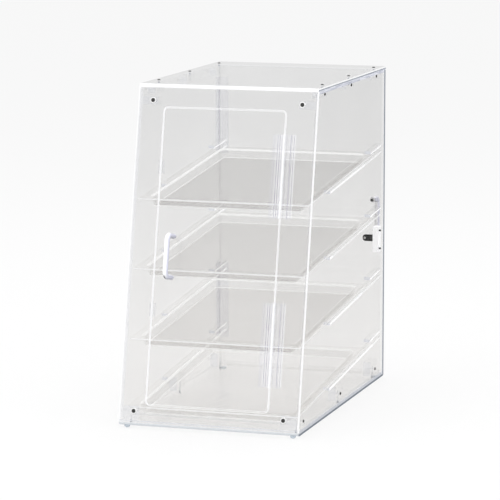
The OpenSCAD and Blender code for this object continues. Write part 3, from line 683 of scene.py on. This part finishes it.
# White of the rod, and its painted shade on the side turned from the key light and on its underside
ROD_WHITE = (0.93, 0.93, 0.95, 1.0)
ROD_SIDE_SHADE = (0.62, 0.63, 0.76, 1.0)
ROD_UNDERSIDE_SHADE = (0.40, 0.42, 0.52, 1.0)


def handle_material():
    """Gloss white rod, with a little painted blue shade on the side turned from the key light and underneath,
    and a painted dark reflection spot low down on the left.
    """
    material, tree, place, normal = new_material("handle_white")
    grain = noise(tree, place, 420.0, 3.0)
    n_right, _, n_up = split(tree, normal)
    # Painted blue shade on the side turned from the key light, darker painted shade underneath
    to_right = remap(tree, n_right, 0.25, 0.95, 0.0, 1.0)
    base = blend_colour(tree, to_right, ROD_WHITE, ROD_SIDE_SHADE)
    downwards = remap(tree, n_up, -0.35, -0.95, 0.0, 1.0)
    base = blend_colour(tree, downwards, base, ROD_UNDERSIDE_SHADE)
    # A painted dark reflection low down on the left
    low = remap(tree, n_up, -0.25, -0.6, 0.0, 1.0)
    painted_dark_reflection = both(tree, low, remap(tree, n_right, 0.1, -0.3, 0.0, 1.0))
    base = blend_colour(tree, painted_dark_reflection, base, grey(0.03))
    inputs = {
        "Base Color": base,
        "Roughness": grain_range(tree, grain, 0.16, 0.28),
        "Coat Weight": 0.5,
        "Coat Roughness": 0.06,
        "Normal": relief(tree, grain, 0.05),
    }
    surface = add(tree, "ShaderNodeBsdfPrincipled", inputs).outputs[0]
    return close_material(material, tree, surface)


def finish_clear():
    """Gives the acrylic parts their materials."""
    # Plate edges: pale painted glow on the deck and the rear door, dark blue painted shade on its side edges,
    # white on the front door
    deck_tint = grey(0.988)
    deck = plate_material("acrylic_deck", UPWARDS, EDGE_PALE, glow=0.95, cover=0.15,
                          low=deck_tint, high=deck_tint)
    door = plate_material("acrylic_front_door", FRONT_NORMAL, EDGE_WHITE, glow=1.0, cover=0.8, door_line=True)
    rear = plate_material("acrylic_rear_door", REARWARDS, EDGE_PALE, glow=0.9, cover=0.95,
                          side_colour=EDGE_BLUE)
    across_front = UP_SLOPE.cross(Vector(SIDEWAYS))
    leaves = [name for name in NODES if name.endswith("_leaf")]
    paint(wrap_material(), "wrap_sheet")
    paint(side_material(), "side_panel_left", "side_panel_right")
    paint(deck, "floor_deck")
    paint(door, "front_door")
    paint(rear, "rear_door")
    paint(strip_material(), *starting("rail_", "keeper_"))
    paint(tray_material(), *starting("tray_"))
    paint(hinge_material("hinge_clear_front", across_front, stretch=(1, 0, 0), strength=1.0),
          *[name for name in leaves if name.startswith("front_")])
    paint(hinge_material("hinge_clear_rear", REARWARDS, stretch=(1, 1, 0), strength=0.5),
          *[name for name in leaves if name.startswith("rear_")])
    paint(block_material(), *[name for name in NODES if name.endswith(("_blocks", "_stops"))])
    paint(foot_material(), "feet")


def finish_opaque():
    """Gives the handles, the fastenings and the catch their materials."""
    paint(handle_material(), "front_door_handle", "rear_door_handle")
    paint(screw_material(), "front_screws", "side_screws", "top_screws", "base_screws")
    inner_black = coated_material("screw_black_inner", grey(0.015), roughness=0.3, grain_scale=1500.0,
                                  bump=0.3, variation=0.3)
    paint(inner_black, "front_handle_screws", "rear_handle_screws", "catch_screws")
    # The pins get a painted glow, so that they look bright
    pin = coated_material("pin_steel", grey(0.88), roughness=0.3, grain_scale=900.0, bump=0.1,
                          metallic=0.4, glow=0.25)
    paint(pin, *[name for name in NODES if name.endswith("_pin")])
    washer = coated_material("washer_white", grey(0.9), roughness=0.4, grain_scale=900.0, bump=0.15)
    paint(washer, "front_screw_washers")
    # The catch gets a faint painted glow
    catch = coated_material("catch_white", (0.95, 0.955, 0.97, 1.0), roughness=0.35, grain_scale=700.0,
                            bump=0.15, glow=0.2)
    paint(catch, "catch_body")
    magnet = coated_material("magnet_dark", grey(0.08), roughness=0.5, grain_scale=1600.0, bump=0.4)
    paint(magnet, "catch_magnet")
    strike = coated_material("strike_black", grey(0.003), roughness=0.5, grain_scale=1200.0, bump=0.3,
                             variation=0.3, specular=0.12)
    paint(strike, "strike_plate")
    steel = coated_material("screw_steel", grey(0.7), roughness=0.25, grain_scale=1500.0, bump=0.3,
                            metallic=1.0)
    paint(steel, "strike_screw")


FINE_ARRIS = 0.25 * MM    # rounding of small parts
SMOOTH_ANGLE = math.radians(32)


def round_edges(width, *names):
    """Takes the sharpness off a node's edges."""
    for name in names:
        bevel = NODES[name].modifiers.new("arris", "BEVEL")
        bevel.width = width
        bevel.segments = 2
        bevel.limit_method = "ANGLE"
        bevel.angle_limit = SMOOTH_ANGLE


def smooth(*names):
    """Smooth shading over the shallow angles of round shapes."""
    for name in names:
        mesh = NODES[name].data
        mesh.polygons.foreach_set("use_smooth", [True] * len(mesh.polygons))
        mesh.set_sharp_from_angle(angle=SMOOTH_ANGLE)


def refine_shapes():
    """Rounded cut edges on the sheets and the small parts, and smooth shading on the round ones."""
    round_edges(ARRIS, "wrap_sheet", "front_door", "rear_door")
    round_edges(FINE_ARRIS, *starting("rail_", "keeper_"), "catch_body", "floor_deck")
    smooth("front_door_handle", "rear_door_handle", "feet", "front_screws", "side_screws", "top_screws",
           "base_screws", "front_handle_screws", "rear_handle_screws", "catch_screws")
    smooth(*[name for name in NODES if name.endswith(("_leaf", "_pin"))])


# ---- Studio ----

FLOOR_SIZE = 60.0
FLOOR_GLOW = 0.80             # light of its own, so that it stays white out to the horizon
FLOOR_MATT = 0.14             # and the part that takes the shadows
CAMERA_WHITE = 0.95           # what the camera sees of the studio's walls
SOFTBOX_GLOW = 0.5            # what the overhead softbox adds to the ramp
STUDIO_RAMP = (               # grey levels of the reflected studio, from straight down to straight up
    (0.0, 0.75), (0.40, 0.62), (0.49, 0.70), (0.52, 0.90), (0.60, 0.98), (0.8, 1.05), (1.0, 1.1))
SOFTBOX_RISE = (0.22, 0.42)   # sines of the elevations between which the overhead softbox fades in


def make_floor():
    """A plain white floor, wide enough to fill the view from every side."""
    half = FLOOR_SIZE / 2
    corners = [(-half, -half, 0), (half, -half, 0), (half, half, 0), (-half, half, 0)]
    mesh = bpy.data.meshes.new("studio_floor")
    mesh.from_pydata(corners, [], [(0, 1, 2, 3)])
    floor = bpy.data.objects.new("studio_floor", mesh)
    bpy.context.collection.objects.link(floor)
    material, tree, _, _ = new_material("studio_floor")
    glow = add(tree, "ShaderNodeEmission", {"Color": grey(1.0), "Strength": FLOOR_GLOW}).outputs[0]
    matt = add(tree, "ShaderNodeBsdfDiffuse", {"Color": grey(FLOOR_MATT)}).outputs[0]
    close_material(material, tree, add(tree, "ShaderNodeAddShader", {0: glow, 1: matt}).outputs[0])
    mesh.materials.append(material)
    floor.visible_glossy = False


def make_world():
    """White all round for the camera, with a softer studio of brights and greys for reflections."""
    world = bpy.data.worlds.new("studio")
    bpy.context.scene.world = world
    world.use_nodes = True
    tree = world.node_tree
    tree.nodes.clear()
    direction = add(tree, "ShaderNodeTexCoord").outputs["Generated"]
    height = split(tree, direction)["Z"]
    ramp = add(tree, "ShaderNodeValToRGB", {"Fac": remap(tree, height, -1.0, 1.0, 0.0, 1.0)})
    points = ramp.color_ramp.elements
    while len(points) < len(STUDIO_RAMP):
        points.new(0.5)
    for point, (where, value) in zip(points, STUDIO_RAMP):
        point.position = where
        point.color = grey(value)
    glossy = add(tree, "ShaderNodeLightPath").outputs["Is Glossy Ray"]
    softbox = remap(tree, height, *SOFTBOX_RISE, 0.0, SOFTBOX_GLOW)
    studio = blend_colour(tree, 1.0, ramp.outputs["Color"], softbox, "ADD")
    colour = blend_colour(tree, glossy, grey(CAMERA_WHITE), studio)
    background = add(tree, "ShaderNodeBackground", {"Color": colour, "Strength": 1.0}).outputs[0]
    add(tree, "ShaderNodeOutputWorld", {"Surface": background})


def make_light(name, place, size, power):
    """A softbox lamp aimed at the middle of the case."""
    lamp = bpy.data.lights.new(name, "AREA")
    lamp.shape = "RECTANGLE"
    lamp.size, lamp.size_y = size
    lamp.energy = power
    light = bpy.data.objects.new(name, lamp)
    bpy.context.collection.objects.link(light)
    light.location = place
    light.rotation_mode = "QUATERNION"
    aim = Vector((0, 0, CASE_TOP / 2)) - Vector(place)
    light.rotation_quaternion = aim.to_track_quat("-Z", "Y")
    light.visible_glossy = False


VIEW_AZIMUTH = math.radians(17.44)      # from straight in front, round to the right
VIEW_ELEVATION = math.radians(8.84)
VIEW_DISTANCE = 5.566                   # metres from the middle of the case
VIEW_LENS = 208.86                      # mm, on the sensor below
SENSOR = 36.0
FAR_END = 200.0                         # clipping distance
AIM_RIGHT = -16.1 * MM                  # shift of the camera, square to its view
AIM_UP = -21.3 * MM


def make_camera():
    """A long lens to the front right of the case and a little above it."""
    sin_a, cos_a = math.sin(VIEW_AZIMUTH), math.cos(VIEW_AZIMUTH)
    sin_e, cos_e = math.sin(VIEW_ELEVATION), math.cos(VIEW_ELEVATION)
    back = Vector((sin_a * cos_e, -cos_a * cos_e, sin_e))
    right = Vector((cos_a, sin_a, 0))
    centre = (CAD_BOX[0] + CAD_BOX[1]) / 2
    lens = bpy.data.cameras.new("camera")
    lens.lens = VIEW_LENS
    lens.sensor_width = SENSOR
    lens.clip_end = FAR_END
    camera = bpy.data.objects.new("camera", lens)
    bpy.context.collection.objects.link(camera)
    camera.location = centre + back * VIEW_DISTANCE + right * AIM_RIGHT + back.cross(right) * AIM_UP
    camera.rotation_mode = "QUATERNION"
    camera.rotation_quaternion = (-back).to_track_quat("-Z", "Y")
    bpy.context.scene.camera = camera


LAMPS = (                 # name, place and size in metres, power in watts
    ("key", (-2.2, -2.4, 3.0), (2.5, 2.5), 60),
    ("fill", (2.6, -1.2, 1.8), (2.0, 2.5), 20),
    ("top", (0.0, 0.6, 3.2), (3.0, 3.0), 40))


def set_up_scene():
    """Colour handling, light paths deep enough for many clear sheets, studio and camera."""
    scene = bpy.context.scene
    scene.view_settings.view_transform = "Standard"
    scene.cycles.transparent_max_bounces = 64
    scene.cycles.max_bounces = 16
    scene.cycles.transmission_bounces = 16
    scene.cycles.glossy_bounces = 8
    scene.cycles.caustics_reflective = False
    scene.cycles.caustics_refractive = False
    make_world()
    make_floor()
    for lamp in LAMPS:
        make_light(*lamp)
    make_camera()


finish_clear()
finish_opaque()
refine_shapes()
set_up_scene()
